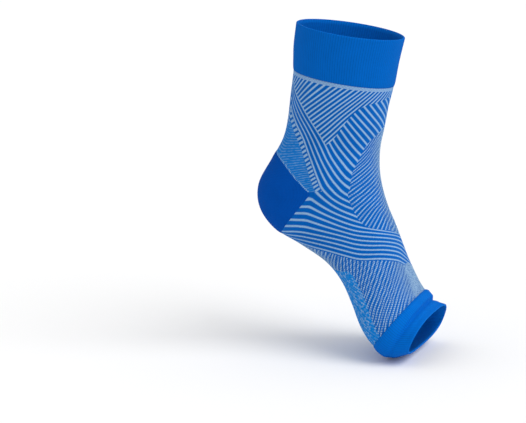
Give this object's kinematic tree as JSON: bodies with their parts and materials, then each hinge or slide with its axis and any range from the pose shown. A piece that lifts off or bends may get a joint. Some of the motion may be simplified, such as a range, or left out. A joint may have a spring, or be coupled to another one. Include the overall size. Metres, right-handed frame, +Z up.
{
  "type": "ankle sleeve",
  "caption": "Open-toe knitted ankle sleeve for a left foot, with a plain cuff, striped tube, heel pocket and rolled toe band, in the form that it takes when worn on tiptoe.",
  "frame": {"origin": "middle of the ankle, in the open hollow, level with the ankle bones", "axes": "+X forward to the toes, +Y to the outer side of the foot, +Z up the leg"},
  "size_m": [0.152, 0.101, 0.2639],
  "materials": {
    "cuff_knit": "ribbed double knit in plain blue, matt with a slight sheen",
    "striped_knit": "jersey knit, blue stripes on pale blue in panels that meet at angles",
    "heel_knit": "dense plain blue knit, matt",
    "band_knit": "plain blue elastic knit, matt with a slight sheen"
  },
  "bodies": {
    "root": {"cuff": "cuff_knit", "knit_tube": "striped_knit", "heel_pocket": "heel_knit", "toe_band": "band_knit"}
  },
  "joints": []
}
